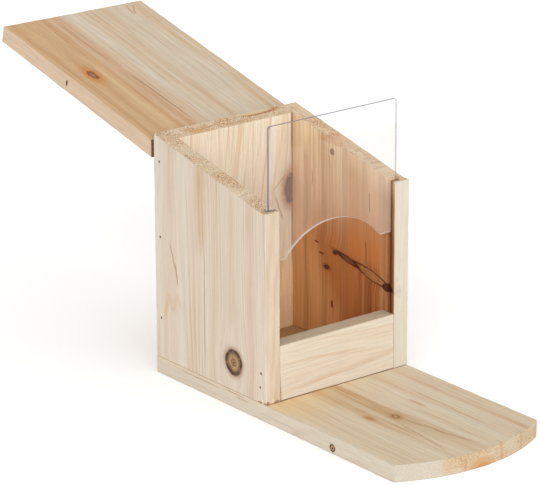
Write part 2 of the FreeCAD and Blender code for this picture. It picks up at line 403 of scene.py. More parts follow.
def stops(low, high, ease):
    """Places along one side of a board: close together in the rounded edge, then even."""
    edge = [0.0, 0.3 * ease, 0.65 * ease, ease]
    inner = high - low - 2 * ease
    count = max(1, round(inner / CELL))
    middle = [ease + inner * step / count for step in range(1, count)]
    return [low + s for s in edge + middle] + [high - s for s in reversed(edge)]


def plank(name, low, high, shape=None, ease=0.8 * MM, seed=0.0):
    """A board with unevenly eased edges and faces that aren't quite flat. shape moves a point of the
    plain board to its place in the finished one."""
    axes = [stops(low[i], high[i], ease) for i in range(3)]
    last = [len(a) - 1 for a in axes]
    drift = Vector((seed * 7.3, seed * 3.7, seed * 5.9))
    mesh = bmesh.new()
    corners = {}

    def corner(index):
        if index not in corners:
            point = Vector(axes[i][index[i]] for i in range(3))
            worn = ease * (0.8 + 0.7 * noise.noise(point * 120 + drift))
            inner = Vector(min(max(point[i], low[i] + ease), high[i] - ease) for i in range(3))
            away = point - inner
            if sum(abs(c) > 1e-9 for c in away) > 1:
                inner = Vector(min(max(point[i], low[i] + worn), high[i] - worn) for i in range(3))
                away = point - inner
                point = inner + away.normalized() * worn
            normal = away.normalized()
            point -= normal * HOLLOW * (0.5 + 0.5 * noise.noise(point * 60 + drift))
            corners[index] = mesh.verts.new(shape(point) if shape else point)
        return corners[index]

    for axis in range(3):
        first, second = [i for i in range(3) if i != axis]
        for end in (0, last[axis]):
            for i in range(last[first]):
                for j in range(last[second]):
                    loop = []
                    for di, dj in ((0, 0), (1, 0), (1, 1), (0, 1)):
                        index = [0, 0, 0]
                        index[axis], index[first], index[second] = end, i + di, j + dj
                        loop.append(corner(tuple(index)))
                    mesh.faces.new(loop)
    bmesh.ops.recalc_face_normals(mesh, faces=mesh.faces)
    return as_object(name, mesh)


def as_object(name, mesh):
    """Turns a bmesh into an object in the scene."""
    data = bpy.data.meshes.new(name)
    mesh.to_mesh(data)
    mesh.free()
    made = bpy.data.objects.new(name, data)
    bpy.context.scene.collection.objects.link(made)
    return made


def cylinder(start, end, radius):
    mesh = bmesh.new()
    bmesh.ops.create_cone(
        mesh, cap_ends=True, segments=20, radius1=radius, radius2=radius, depth=(end - start).length)
    turn = (end - start).to_track_quat("Z", "Y").to_matrix().to_4x4()
    mesh.transform(Matrix.Translation((start + end) / 2) @ turn)
    return as_object("cutter", mesh)


def block(low, high):
    mesh = bmesh.new()
    bmesh.ops.create_cube(mesh, size=1.0)
    size = Vector(high) - Vector(low)
    mesh.transform(Matrix.Translation((Vector(high) + Vector(low)) / 2) @ Matrix.Diagonal((*size, 1)))
    return as_object("cutter", mesh)


def cut(board, cutters):
    """Takes the cutters out of the board and throws them away."""
    for cutter in cutters:
        modifier = board.modifiers.new("cut", "BOOLEAN")
        modifier.operation = "DIFFERENCE"
        modifier.solver = "EXACT"
        modifier.object = cutter
    bpy.context.view_layer.update()
    evaluated = board.evaluated_get(bpy.context.evaluated_depsgraph_get())
    result = bpy.data.meshes.new_from_object(evaluated)
    board.modifiers.clear()
    board.data = result
    for cutter in cutters:
        bpy.data.objects.remove(cutter)


def finish_board(board, material, body, node):
    """Gives a board its material and puts it in the place of its CAD node."""
    board.data.materials.clear()
    board.data.materials.append(material)
    board.data.shade_smooth()
    weighted = board.modifiers.new("flat faces", "WEIGHTED_NORMAL")
    weighted.weight = 80
    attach(board, body)
    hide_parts(node)


def node_points(name):
    return [v.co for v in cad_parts[name].data.vertices]


HEAD_CLEAR = 0.03 * MM
MOUTH_DEPTH = 1.6 * MM
NAIL_CELL = 4 * MM


def box_of(points):
    low = Vector(min(p[i] for p in points) for i in range(3))
    high = Vector(max(p[i] for p in points) for i in range(3))
    return low, high


def nail_boxes(points, outward):
    """The box round each nail of a group: the points are sorted into cells, and the boxes of cells that
    share a nail are joined."""
    cells = {}
    for point in points:
        across = point - outward * point.dot(outward)
        cells.setdefault(tuple(round(c / NAIL_CELL) for c in across), []).append(point)
    boxes = []
    for cell in cells.values():
        low, high = box_of(cell)
        for index, (other_low, other_high) in enumerate(boxes):
            if all(low[i] < other_high[i] + MM and high[i] > other_low[i] - MM for i in range(3)):
                boxes[index] = box_of([low, high, other_low, other_high])
                break
        else:
            boxes.append((low, high))
    return boxes


def nail_mouths(name, outward):
    """A hole for the head of every nail in a node, open towards outward."""
    mouths = []
    for low, high in nail_boxes(node_points(name), outward):
        size = high - low
        radius = min(size) / 2 + HEAD_CLEAR
        face = (low + high) / 2 + outward * (abs(size.dot(outward)) / 2)
        mouths.append(cylinder(face + outward * MM, face - outward * MOUTH_DEPTH, radius))
    return mouths


# ------------------------------------------------------------------ the boards' places
base_low, base_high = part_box("base_board")
left_low, left_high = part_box("left_side_panel")
right_low, right_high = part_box("right_side_panel")
back_low, back_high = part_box("back_panel")
rail_low, rail_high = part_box("front_rail")
window_low, window_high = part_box("window_panel")

LAND = 5 * MM


def front_top():
    """Height of a side panel's level land."""
    return max(p.z for p in node_points("left_side_panel") if p.y < left_low.y + 2 * MM)


land_z = front_top()
roof_rise = (left_high.z - land_z) / (left_high.y - left_low.y - LAND)


def side_shape(point):
    """Lowers a side panel's top from its full height to the slope and the land."""
    top = land_z + roof_rise * max(0.0, point.y - left_low.y - LAND)
    share = (point.z - left_low.z) / (left_high.z - left_low.z)
    return Vector((point.x, point.y, left_low.z + share * (top - left_low.z)))


def back_shape(point):
    """Lowers the back panel's top to the roof's slope."""
    top = land_z + roof_rise * (point.y - left_low.y - LAND)
    share = (point.z - back_low.z) / (back_high.z - back_low.z)
    return Vector((point.x, point.y, back_low.z + share * (top - back_low.z)))


def porch_front():
    """How far the base runs out at its sides, from its outline's points next to them."""
    side = [p.y for p in node_points("base_board") if p.x < base_low.x + 1.2 * MM]
    return min(side)


porch_side = porch_front()
porch_sagitta = porch_side - base_low.y
porch_radius = (base_high.x ** 2 + porch_sagitta ** 2) / (2 * porch_sagitta)


def base_shape(point):
    """Bows the front edge of the base out into its arc."""
    if point.y >= 0:
        return point
    arc = base_low.y + porch_radius - math.sqrt(porch_radius ** 2 - min(abs(point.x), base_high.x) ** 2)
    return Vector((point.x, point.y * arc / base_low.y, point.z))


# ------------------------------------------------------------------ wood of each board
def middle_of(name):
    low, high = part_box(name)
    return (low + high) / 2


LEFT = (middle_of("left_side_panel"), ALONG_Z, ALONG_Y)
RIGHT = (middle_of("right_side_panel"), ALONG_Z, ALONG_Y)
BACK = (middle_of("back_panel"), ALONG_Z, ALONG_X)
BASE = (middle_of("base_board"), ALONG_Y, ALONG_X)
RAIL = (middle_of("front_rail"), ALONG_X, ALONG_Z)


def spot(board, x=0.0, y=0.0, z=0.0):
    """(u, v) on a board of a point given in millimetres from the origin."""
    middle, along, across = board
    point = Vector((x, y, z)) * MM - middle
    return (point.dot(along) / MM, point.dot(across) / MM)


LIGHT_END = (tone(202, 184, 156), tone(196, 164, 126), tone(138, 88, 48), tone(228, 212, 186))
WARM_END = (tone(210, 186, 154), tone(198, 158, 118), tone(114, 70, 42), tone(234, 218, 192))

left_wood = wood(
    "left_panel_wood", LEFT, 3.0,
    tints=((0.3, tone(202, 194, 183)), (0.45, tone(204, 192, 175)), (0.56, tone(200, 185, 168)),
           (0.7, tone(190, 168, 146))),
    late=tone(178, 148, 118),
    rings={"pitch": 2.4, "pith": (41.0, -30.0), "sway": 7.0, "swell": 1.5, "taper": 0.02, "contrast": 0.6,
           "early_share": 0.35},
    end_tones=LIGHT_END,
    knots=(
        knot(spot(LEFT, y=34.6, z=32.2), (8.8, 8.6), tone(164, 130, 92), tone(46, 26, 24),
            tone(150, 110, 88), halo=0.85, glow=1.75, rings=2.4, ring_share=0.6, ragged=0.22, pip=0.16,
            pip_tone=tone(100, 44, 28), rim_wide=0.22, rays=0.6, flecks=0.6),
    ),
    bands=(
        band(spot(LEFT, y=71.0)[1], 4.4, 0.95, tone(182, 142, 92), span=(0, 84), ease=24),
        band(spot(LEFT, y=16.0)[1], 4.0, 0.6, tone(190, 152, 132)),
        band(spot(LEFT, y=54.0)[1], 4.0, 0.5, tone(184, 156, 128)),
        band(spot(LEFT, y=36.0)[1], 3.0, 0.6, tone(186, 160, 134), span=(-40, 70)),
    ),
    lines=(
        line(spot(LEFT, y=66.0, z=12.0), spot(LEFT, y=66.0, z=112.0), 0.6, 0.75, tone(128, 96, 74),
            wobble=1.2),
        line(spot(LEFT, y=104.5, z=99.0), spot(LEFT, y=98.0, z=78.0), 1.1, 0.7, tone(166, 132, 108),
            wobble=2.0, face=1),
        line(spot(LEFT, y=98.5, z=86.0), spot(LEFT, y=95.5, z=68.0), 0.9, 0.8, tone(150, 110, 84),
            wobble=1.5, face=1),
        line(spot(LEFT, y=111.0, z=42.0), spot(LEFT, y=105.5, z=62.0), 2.6, 0.38, tone(196, 158, 116),
            wobble=3.0, face=1),
        line(spot(LEFT, y=106.5, z=63.0), spot(LEFT, y=101.0, z=48.0), 2.3, 0.38, tone(196, 158, 116),
            wobble=2.0, face=1),
        line(spot(LEFT, y=102.0, z=47.0), spot(LEFT, y=97.0, z=63.0), 2.3, 0.38, tone(196, 158, 116),
            wobble=2.0, face=1),
        line(spot(LEFT, y=98.0, z=64.0), spot(LEFT, y=91.0, z=52.0), 2.3, 0.34, tone(196, 158, 116),
            wobble=3.0, face=1),
    ),
    fades=(
        fade((-1.0, 0, 0), 79.0, 79.6, 0.4, tone(126, 88, 60), cloud=1.4),
        # painted shade: the front edge is toned down against the strong front light
        fade((0, -1.0, 0), 60.0, 60.6, 0.8, tone(188, 170, 146), cloud=0.8),
    ),
    pits=(
        pit((-78.5, -59.0, 4.5), (2.2, 2.6, 2.0), 0.9, tone(140, 92, 52)),
        pit((-79.0, -54.5, 6.0), (1.4, 3.0, 1.0), 0.8, tone(136, 90, 56)),
        pit((-77.0, -60.0, 0.0), (2.4, 1.2, 1.6), 0.6, tone(214, 196, 166)),
        pit((-77.6, -57.0, 6.0), (1.8, 1.0, 1.0), 0.8, tone(226, 206, 168)),
        pit((-78.6, -60.0, -3.0), (1.6, 1.0, 2.6), 0.8, tone(150, 104, 64)),
        # partly painted light: a pale patch lifts the shade in the groove's mouth; the fresh-sawn wood
        # there is paler too
        pit((spot(LEFT, z=land_z / MM)[0] - 1.0, spot(LEFT, y=6.0)[1], -1.0), (4.0, 1.8, 3.6), 0.9,
            tone(238, 226, 204)),
    ),
)

right_wood = wood(
    "right_panel_wood", RIGHT, 8.0,
    tints=((0.3, tone(230, 204, 170)), (0.48, tone(222, 186, 146)), (0.62, tone(206, 162, 118)),
           (0.75, tone(184, 136, 90))),
    late=tone(146, 94, 58),
    rings={"pitch": 2.2, "pith": (66.0, -40.0), "sway": 6.0, "swell": 1.0, "taper": 0.0, "contrast": 0.5,
           "early_share": 0.3},
    end_tones=WARM_END,
    fades=(
        # The inner face's orange, darker towards the bottom and the front and lighter towards the top, is
        # partly the wood's own heartwood tone and partly painted shade and painted bounce light of the
        # box's inside.
        fade((1.0, 0.25, 0), 52.0, -18.0, 0.97, tone(190, 114, 60), face=1),
        fade((-0.6, 1.0, 0), 18.0, 52.0, 0.9, tone(232, 172, 114), face=1),
        fade((0, -1.0, 0), 42.0, 52.0, 0.6, tone(142, 98, 64), cloud=4.0, face=1),
        fade((1.0, 0.8, 0), 62.0, 104.0, 0.6, tone(232, 208, 166), face=1),
        fade((1.0, -0.23, 0), 48.0, 66.0, 0.55, tone(240, 212, 176), cloud=8.0, face=1),
        fade((0, 1.0, 0), 30.0, 50.0, 0.4, tone(196, 182, 150), where="ends"),
        fade((0, -1.0, 0), 16.0, 40.0, 0.45, tone(212, 192, 160), where="ends"),
        fade((0, 0, -1.0), -3.0, 1.0, 0.75, tone(206, 188, 160), cloud=3.0),
        fade((0, -1.0, 0), 59.4, 60.2, 0.9, tone(196, 188, 172), cloud=0.8),
        fade((0, -1.0, 0), 59.5, 60.0, 0.7, tone(194, 186, 170), cloud=0.4, where="everywhere"),
    ),
    knots=(
        knot(spot(RIGHT, y=24.0, z=72.0), (3.6, 23.0), tone(180, 122, 74), tone(50, 24, 16),
            tone(112, 58, 34), turn=-13.0, spike=True, halo=0.55, glow=1.9, rings=2.0, flecks=0.3,
            core_share=0.75, rim_wide=0.24, face=1, push=0.12, ragged=0.5, ring_share=0.35, rays=0.0),
        knot(spot(RIGHT, y=50.0, z=76.8), (2.2, 13.5), tone(120, 70, 44), tone(60, 30, 22),
            tone(120, 62, 38), turn=-13.0, spike=True, halo=0.6, glow=2.2, rings=1.0, flecks=0.6,
            core_share=0.9, rim_wide=0.4, face=1, push=0.2, ragged=0.5, rays=0.0),
        knot(spot(RIGHT, y=7.5, z=67.6), (2.8, 5.0), tone(74, 34, 22), tone(50, 22, 16),
            tone(110, 56, 34), halo=0.7, face=1, push=0.0, glow=1.3),
        knot(spot(RIGHT, y=72.1, z=65.4), (1.3, 2.6), tone(92, 40, 22), tone(70, 30, 18),
            tone(136, 66, 34), halo=0.8, glow=3.4, face=1, ragged=0.9, push=0.3),
        knot(spot(RIGHT, y=63.0, z=78.0), (1.2, 2.0), tone(90, 42, 24), tone(70, 32, 20),
            tone(130, 64, 34), halo=0.8, glow=2.8, face=1, ragged=0.8, push=0.3),
        knot(spot(RIGHT, y=78.0, z=74.0), (0.8, 2.6), tone(136, 72, 40), tone(118, 60, 34),
            tone(150, 84, 46), halo=0.6, face=1, ragged=1.0, push=0.3),
        knot(spot(RIGHT, y=83.0, z=81.0), (0.7, 2.0), tone(136, 72, 40), tone(118, 60, 34),
            tone(150, 84, 46), halo=0.6, face=1, ragged=1.0, push=0.3),
        knot(spot(RIGHT, y=66.2, z=40.0), (2.4, 1.0), tone(126, 54, 26), tone(112, 46, 22),
            tone(140, 70, 36), halo=0.8, face=1, ragged=1.0, push=0.3),
        knot(spot(RIGHT, y=66.4, z=149.4), (2.0, 2.0), tone(140, 84, 60), tone(112, 62, 44),
            tone(170, 116, 84), halo=0.6, face=1),
    ),
    bands=(
        band(-34.0, 18.0, 0.8, tone(117, 56, 27), span=(-90, -6), face=1),
        band(34.0, 2.4, 0.6, tone(148, 90, 52), span=(-90, 60), face=1),
        band(14.0, 3.0, 0.6, tone(150, 96, 58), face=1),
        band(-8.0, 3.0, 0.5, tone(156, 100, 60), face=1),
        band(22.0, 3.5, 0.5, tone(184, 142, 102), face=-1),
        band(-20.0, 5.0, 0.5, tone(184, 140, 98), face=-1),
        band(-46.0, 2.5, 0.6, tone(190, 152, 106)),
        band(-28.0, 2.0, 0.5, tone(186, 140, 94)),
        band(44.0, 2.5, 0.5, tone(206, 154, 104)),
    ),
    pits=(
        pit((66.0, 3.0, 1.0), (4.0, 24.0, 9.0), 0.35, tone(186, 120, 72)),
        pit((57.6, -38.0, 1.0), (3.0, 0.9, 8.0), 0.6, tone(158, 112, 74)),
        pit((59.4, -31.0, -1.0), (3.0, 0.9, 7.0), 0.6, tone(158, 112, 74)),
        pit((61.0, -25.0, 1.0), (3.0, 0.8, 6.0), 0.6, tone(158, 112, 74)),
    ),
    lines=(
        line(spot(RIGHT, y=26.0, z=114.0), spot(RIGHT, y=27.0, z=132.0), 0.6, 0.9, tone(80, 42, 28),
            face=1),
        line(spot(RIGHT, y=30.0, z=76.0), spot(RIGHT, y=30.5, z=97.0), 0.6, 0.8, tone(80, 38, 22),
            face=1),
        line(spot(RIGHT, y=88.0, z=118.0), spot(RIGHT, y=88.0, z=134.0), 0.5, 0.8, tone(96, 54, 36),
            face=1),
    ),
)

back_wood = wood(
    "back_panel_wood", BACK, 12.0,
    tints=((0.3, tone(214, 208, 194)), (0.5, tone(214, 200, 178)), (0.7, tone(206, 184, 156))),
    late=tone(190, 146, 104),
    rings={"pitch": 7.0, "pith": (84.0, -60.0), "sway": 7.0, "swell": 1.2, "taper": 0.1, "contrast": 0.75,
           "early_share": 0.72},
    end_tones=LIGHT_END,
    knots=(
        knot(spot(BACK, x=47.6, z=113.3), (10.5, 6.0), tone(110, 80, 76), tone(66, 46, 48),
            tone(158, 104, 78), halo=1.0, glow=2.4, ragged=0.9, rings=2.0, rim_share=0.4, flecks=0.7),
    ),
    lines=(
        line(spot(BACK, x=46.0, z=127.0), spot(BACK, x=30.0, z=114.0), 1.0, 0.5, tone(170, 118, 84),
            wobble=3.0),
        line(spot(BACK, x=32.0, z=112.0), spot(BACK, x=41.0, z=90.0), 1.0, 0.6, tone(150, 100, 70),
            wobble=3.0),
    ),
    bands=(
        band(31.0, 5.0, 0.6, tone(196, 152, 118), span=(-80, 34)),
    ),
    fades=(
        fade((0, 1.0, 0), 46.9, 48.0, 0.8, tone(104, 68, 48), cloud=1.0, face=-1),
        # painted light: the lower inner face is lifted to a warm gold for light bounced inside the box
        fade((1.0, 0, 0), 0.0, -50.0, 0.8, tone(240, 208, 158), cloud=20.0, face=-1),
    ),
    pits=(
        pit((77.5, 26.0, 3.6), (8.0, 20.0, 4.2), 0.85, tone(158, 100, 54)),
        pit((77.5, 23.0, 5.6), (8.0, 19.0, 4.2), 0.9, tone(208, 184, 148)),
        pit((77.5, 4.0, -2.4), (8.0, 13.0, 0.8), 0.6, tone(176, 130, 88)),
        pit((77.5, -4.0, 1.8), (8.0, 12.0, 0.8), 0.6, tone(176, 130, 88)),
        pit((77.5, -18.0, -0.6), (8.0, 9.0, 0.9), 0.6, tone(176, 132, 92)),
        pit((77.5, -30.0, -2.0), (8.0, 7.0, 2.0), 0.6, tone(192, 142, 84)),
        pit((77.5, -36.0, 1.5), (8.0, 7.0, 1.0), 0.6, tone(168, 118, 76)),
    ),
    grain=1.6,
    threads=0.35,
)

base_wood = wood(
    "base_board_wood", BASE, 21.0,
    tints=((0.28, tone(210, 204, 190)), (0.45, tone(208, 192, 166)), (0.6, tone(198, 176, 146)),
           (0.75, tone(180, 146, 106))),
    late=tone(172, 130, 88),
    rings={"pitch": 3.4, "pith": (-3.0, 9.0), "sway": 14.0, "swell": 4.0, "taper": 0.03, "contrast": 0.22,
           "early_share": 0.3},
    end_tones=(tone(184, 170, 146), tone(180, 154, 122), tone(162, 126, 88), tone(194, 184, 162)),
    knots=(
        knot(spot(BASE, x=-6.9, y=-67.5), (3.0, 2.2), tone(180, 146, 108), tone(116, 80, 52),
            tone(172, 126, 76), halo=0.8, glow=3.4, face=-1),
        knot(spot(BASE, x=-22.3, y=-58.9), (3.0, 1.4), tone(172, 132, 92), tone(150, 106, 70),
            tone(176, 132, 84), halo=0.8, glow=3.4, face=-1, core_share=0.6, rim_share=0.5),
        knot(spot(BASE, x=20.0, y=-58.0), (9.0, 1.0), tone(186, 146, 108), tone(182, 140, 102),
            tone(186, 148, 108), spike=True, push=0.2, face=-1, core_share=0.6, rim_share=0.5),
    ),
    bands=(
        band(spot(BASE, x=-6.0)[1], 5.5, 1.0, tone(174, 130, 76), span=(-88, 60), ease=50),
        band(spot(BASE, x=-19.0)[1], 6.0, 0.8, tone(180, 140, 94), span=(-110, 60), ease=40),
        band(spot(BASE, x=46.0)[1], 2.4, 0.6, tone(184, 142, 104)),
        band(spot(BASE, x=28.0)[1], 3.0, 0.5, tone(186, 150, 118)),
    ),
    lines=(
        line(spot(BASE, x=4.0, y=-138.0), spot(BASE, x=-6.0, y=-70.0), 1.6, 0.45, tone(158, 114, 74),
            wobble=5.0, face=-1),
        line(spot(BASE, x=-20.0, y=-138.0), spot(BASE, x=-12.0, y=-72.0), 1.4, 0.4, tone(158, 116, 78),
            wobble=5.0, face=-1),
        line(spot(BASE, x=12.0, y=-132.0), spot(BASE, x=14.0, y=-60.0), 0.7, 0.5, tone(160, 120, 84),
            wobble=3.0, face=-1),
        line(spot(BASE, x=30.0, y=-120.0), spot(BASE, x=33.0, y=-30.0), 0.7, 0.5, tone(160, 120, 84),
            wobble=3.0, face=-1),
    ),
    fades=(
        fade((0, -1.0, 0), 26.0, 34.0, 0.75, tone(180, 176, 164), cloud=6.0, where="ends"),
        fade((1.0, -0.6, 0), -10.0, 40.0, 0.6, tone(222, 186, 132), cloud=26.0, face=-1),
        fade((0, -1.0, 0), 59.6, 60.6, 0.75, tone(196, 186, 172), cloud=2.0),
        # painted light: the floor inside the box is lifted to a pale gold for light bounced between its
        # walls
        fade((1.0, 0, 0), 20.0, 30.0, 1.0, tone(255, 214, 150), cloud=6.0, face=-1, half_width=49.0),
        fade((1.0, 0, 0), 11.2, 12.2, 0.7, tone(116, 78, 50), cloud=1.0, face=-1, half_width=60.4),
        # painted shadow: a grey band along the base's bottom edge stands for its contact shadow
        fade((0, 0, 1.0), 5.2, 5.9, 0.5, tone(140, 142, 136), cloud=0.6),
    ),
    pits=(
        pit((-133.0, 0.0, 7.5), (8.0, 15.5, 11.0), 0.6, tone(188, 158, 122)),
        pit((-133.0, 0.0, 7.5), (8.0, 13.5, 9.4), 0.6, tone(172, 132, 90)),
        pit((-133.0, 0.0, 7.5), (8.0, 12.0, 8.2), 0.8, tone(182, 146, 104)),
        pit((-133.0, 0.0, 7.5), (8.0, 8.0, 5.2), 0.8, tone(176, 126, 72)),
        pit((-131.0, -14.0, 3.0), (8.0, 1.2, 9.0), 0.7, tone(176, 134, 96)),
        pit((-131.0, 17.0, 0.0), (8.0, 1.2, 9.0), 0.6, tone(176, 134, 96)),
        pit((-128.0, 38.0, 0.0), (8.0, 1.0, 9.0), 0.6, tone(176, 134, 96)),
        pit((*spot(BASE, x=-61.0, y=70.0), -3.4), (26.0, 1.5, 0.4), 0.6, tone(150, 104, 72)),
        pit((*spot(BASE, x=-61.0, y=34.0), -4.4), (14.0, 1.5, 0.4), 0.6, tone(158, 104, 76)),
        pit((*spot(BASE, x=-61.0, y=26.0), -2.6), (9.0, 1.5, 0.4), 0.6, tone(160, 98, 78)),
        pit((*spot(BASE, x=-61.0, y=-16.0), 1.0), (16.0, 1.5, 0.4), 0.4, tone(168, 122, 92)),
        pit((*spot(BASE, x=-61.0, y=-68.6), 1.9), (3.2, 1.5, 3.2), 1.0, tone(66, 26, 14)),
        pit((*spot(BASE, x=-61.0, y=-68.6), 1.9), (2.0, 2.0, 2.0), 0.95, tone(176, 140, 106)),
        pit((*spot(BASE, x=-61.0, y=-68.6), 2.1), (0.9, 2.0, 0.9), 0.95, tone(80, 34, 20)),
    ),
)

rail_wood = wood(
    "front_rail_wood", RAIL, 27.0,
    tints=((0.3, tone(202, 194, 181)), (0.5, tone(202, 190, 172)), (0.7, tone(194, 174, 150))),
    late=tone(182, 150, 118),
    rings={"pitch": 3.4, "pith": (-4.0, -16.0), "sway": 12.0, "swell": 5.0, "taper": 0.03, "contrast": 0.6,
           "early_share": 0.4},
    end_tones=LIGHT_END,
    fades=(
        fade((0, -1.0, 0), 18.7, 19.4, 0.8, tone(104, 68, 44), cloud=1.0),
        fade((0, 1.0, 0), 18.8, 19.3, 0.8, tone(172, 154, 130), cloud=0.4),
        fade((-1.0, -0.06, 0), 48.0, 49.4, 0.7, tone(130, 90, 58), cloud=1.2),
    ),
    grain=1.4,
)

# the lid's grain runs along its length, up its slope
LID_SLOPE = math.radians(13.7)
LID_THICKNESS = rail_high.y - rail_low.y
lid_along = Vector((0, math.cos(LID_SLOPE), math.sin(LID_SLOPE)))
lid_up = Vector((0, -math.sin(LID_SLOPE), math.cos(LID_SLOPE)))
lid_low, lid_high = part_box("lid_board")
lid_points = node_points("lid_board")
lid_face = max(p.dot(lid_up) for p in lid_points) - HOLLOW / 2
lid_near = Vector((0, lid_low.y, (lid_face + lid_low.y * math.sin(LID_SLOPE)) / math.cos(LID_SLOPE)))
lid_length = max(p.dot(lid_along) for p in lid_points) - lid_near.dot(lid_along)
LID = (lid_near + lid_along * lid_length / 2 - lid_up * LID_THICKNESS / 2, lid_along, ALONG_X)


def on_lid(x, run):
    """(u, v) of a place x millimetres from the middle and run millimetres from the near end."""
    return (run - lid_length / MM / 2, x)


lid_wood = wood(
    "lid_board_wood", LID, 33.0,
    tints=((0.3, tone(200, 192, 178)), (0.45, tone(196, 180, 157)), (0.58, tone(190, 165, 138)),
           (0.72, tone(178, 142, 108))),
    late=tone(168, 128, 92),
    rings={"pitch": 3.0, "pith": (28.0, 34.0), "sway": 8.0, "swell": 1.5, "taper": 0.01, "contrast": 0.5,
           "early_share": 0.35},
    end_tones=WARM_END,
    fades=(
        fade((0, -1.0, 0), 8.0, 15.0, 0.55, tone(192, 154, 120), cloud=8.0),
        fade((0, -1.0, 0), 21.0, 29.0, 0.8, tone(190, 156, 116), cloud=12.0),
        fade((0, -1.0, 0), 59.0, 59.7, 0.85, tone(202, 178, 154), cloud=1.0),
        # painted shade: the lid's near end face is darkened for the shade in its narrow gap by the box
        fade((-1.0, 0, -math.tan(LID_SLOPE)), 91.2, 91.7, 0.85, tone(96, 60, 40), cloud=0.4,
            where="everywhere"),
    ),
    knots=(
        knot(on_lid(-42.6, 94.6), (6.6, 2.9), tone(166, 116, 76), tone(104, 58, 36), tone(184, 124, 68),
            halo=1.0, glow=3.6, ragged=1.3, face=-1, flecks=0.9, rim_wide=0.4, rim_share=0.7),
    ),
    bands=(
        band(-19.0, 3.0, 0.7, tone(176, 132, 92)),
        band(-28.0, 2.5, 0.7, tone(172, 122, 74)),
        band(-34.0, 3.0, 0.6, tone(208, 180, 136), span=(-90, 20)),
        band(-44.0, 2.5, 0.6, tone(172, 128, 80), span=(-90, 40)),
        band(-54.0, 2.0, 0.6, tone(172, 128, 80)),
        band(-2.0, 3.0, 0.7, tone(204, 200, 188)),
        band(8.0, 2.0, 0.5, tone(188, 152, 120)),
        band(14.0, 1.6, 0.6, tone(184, 146, 112)),
        band(33.0, 8.0, 0.7, tone(196, 188, 170)),
        band(50.0, 3.5, 0.8, tone(184, 148, 106)),
        band(57.0, 2.0, 0.5, tone(184, 148, 106)),
    ),
    lines=(
        line(on_lid(-16.8, 96.0), on_lid(-14.4, 8.0), 0.5, 0.85, tone(112, 70, 44), wobble=1.2, face=-1),
        line(on_lid(-21.0, 178.0), on_lid(-19.0, 100.0), 0.7, 0.5, tone(150, 108, 70), wobble=2.0,
            face=-1),
        line(on_lid(41.5, 162.0), on_lid(44.7, 180.0), 0.9, 0.75, tone(178, 130, 82), wobble=1.0,
            face=-1),
        line(on_lid(42.0, 162.0), on_lid(50.5, 178.0), 0.9, 0.75, tone(178, 130, 82), wobble=1.0,
            face=-1),
    ),
    pits=(
        # a small hole in the lid's side, drawn as a dark spot: painted shade inside the hole
        pit((*on_lid(-60.0, 100.0), -0.5), (1.1, 1.5, 2.8), 1.0, tone(52, 26, 18)),
    ),
    grain=1.7,
    threads=0.35,
)

# ------------------------------------------------------------------ build the boards
base = plank("base", base_low, base_high, base_shape, seed=1)
base_nails = ("base_side_nails", "base_back_nails", "base_rail_nails")
cut(base, [mouth for name in base_nails for mouth in nail_mouths(name, -ALONG_Z)])
finish_board(base, base_wood, "box", "base_board")

GROOVE_PLAY = 0.2 * MM
GROOVE_END_PLAY = 1.0 * MM
groove_low = window_low.y - GROOVE_PLAY
groove_high = window_high.y + GROOVE_PLAY

left_side = plank("left_side", left_low, left_high, side_shape, seed=2)
groove = block(
    (window_low.x - GROOVE_END_PLAY, groove_low, left_low.z - MM),
    (left_high.x + MM, groove_high, left_high.z + MM))
left_mouths = nail_mouths("left_back_nails", -ALONG_X) + nail_mouths("left_rail_nails", -ALONG_X)
cut(left_side, [groove] + left_mouths)
finish_board(left_side, left_wood, "box", "left_side_panel")

right_side = plank("right_side", right_low, right_high, side_shape, seed=3)
groove = block(
    (right_low.x - MM, groove_low, right_low.z - MM),
    (window_high.x + GROOVE_END_PLAY, groove_high, right_high.z + MM))
right_mouths = nail_mouths("right_back_nails", ALONG_X) + nail_mouths("right_rail_nails", ALONG_X)
cut(right_side, [groove] + right_mouths)
finish_board(right_side, right_wood, "box", "right_side_panel")

back = plank("back", back_low, back_high, back_shape, ease=0.5 * MM, seed=4)
finish_board(back, back_wood, "box", "back_panel")

rail = plank("rail", rail_low, rail_high, ease=0.6 * MM, seed=5)
finish_board(rail, rail_wood, "box", "front_rail")


PLUMB_REACH = 40 * MM


def lid_shape(point):
    """Takes a level board (x, run, height below the face) to the lid's slope, with a plumb near end."""
    lean = max(0.0, 1 - point.y / PLUMB_REACH) * math.tan(LID_SLOPE)
    run = point.y + point.z * lean
    return lid_near + ALONG_X * point.x + lid_along * run + lid_up * point.z


lid = plank(
    "lid", Vector((lid_low.x, 0, -LID_THICKNESS)), Vector((lid_high.x, lid_length, 0)), lid_shape,
    ease=0.7 * MM, seed=6)
finish_board(lid, lid_wood, "lid", "lid_board")


# ------------------------------------------------------------------ window and metal
# below this height the window's faces carry a stronger painted reflection
PAINTED_REFLECTION_TOP = window_high.z - 17 * MM
ARCH_TOP = max(
    p.z for p in node_points("window_panel") if abs(p.x) < 20 * MM and p.z < window_low.z + 30 * MM)
# how strongly the window's faces glow: a painted reflection of the pale room
PAINTED_REFLECTION_GLOW = 1.1


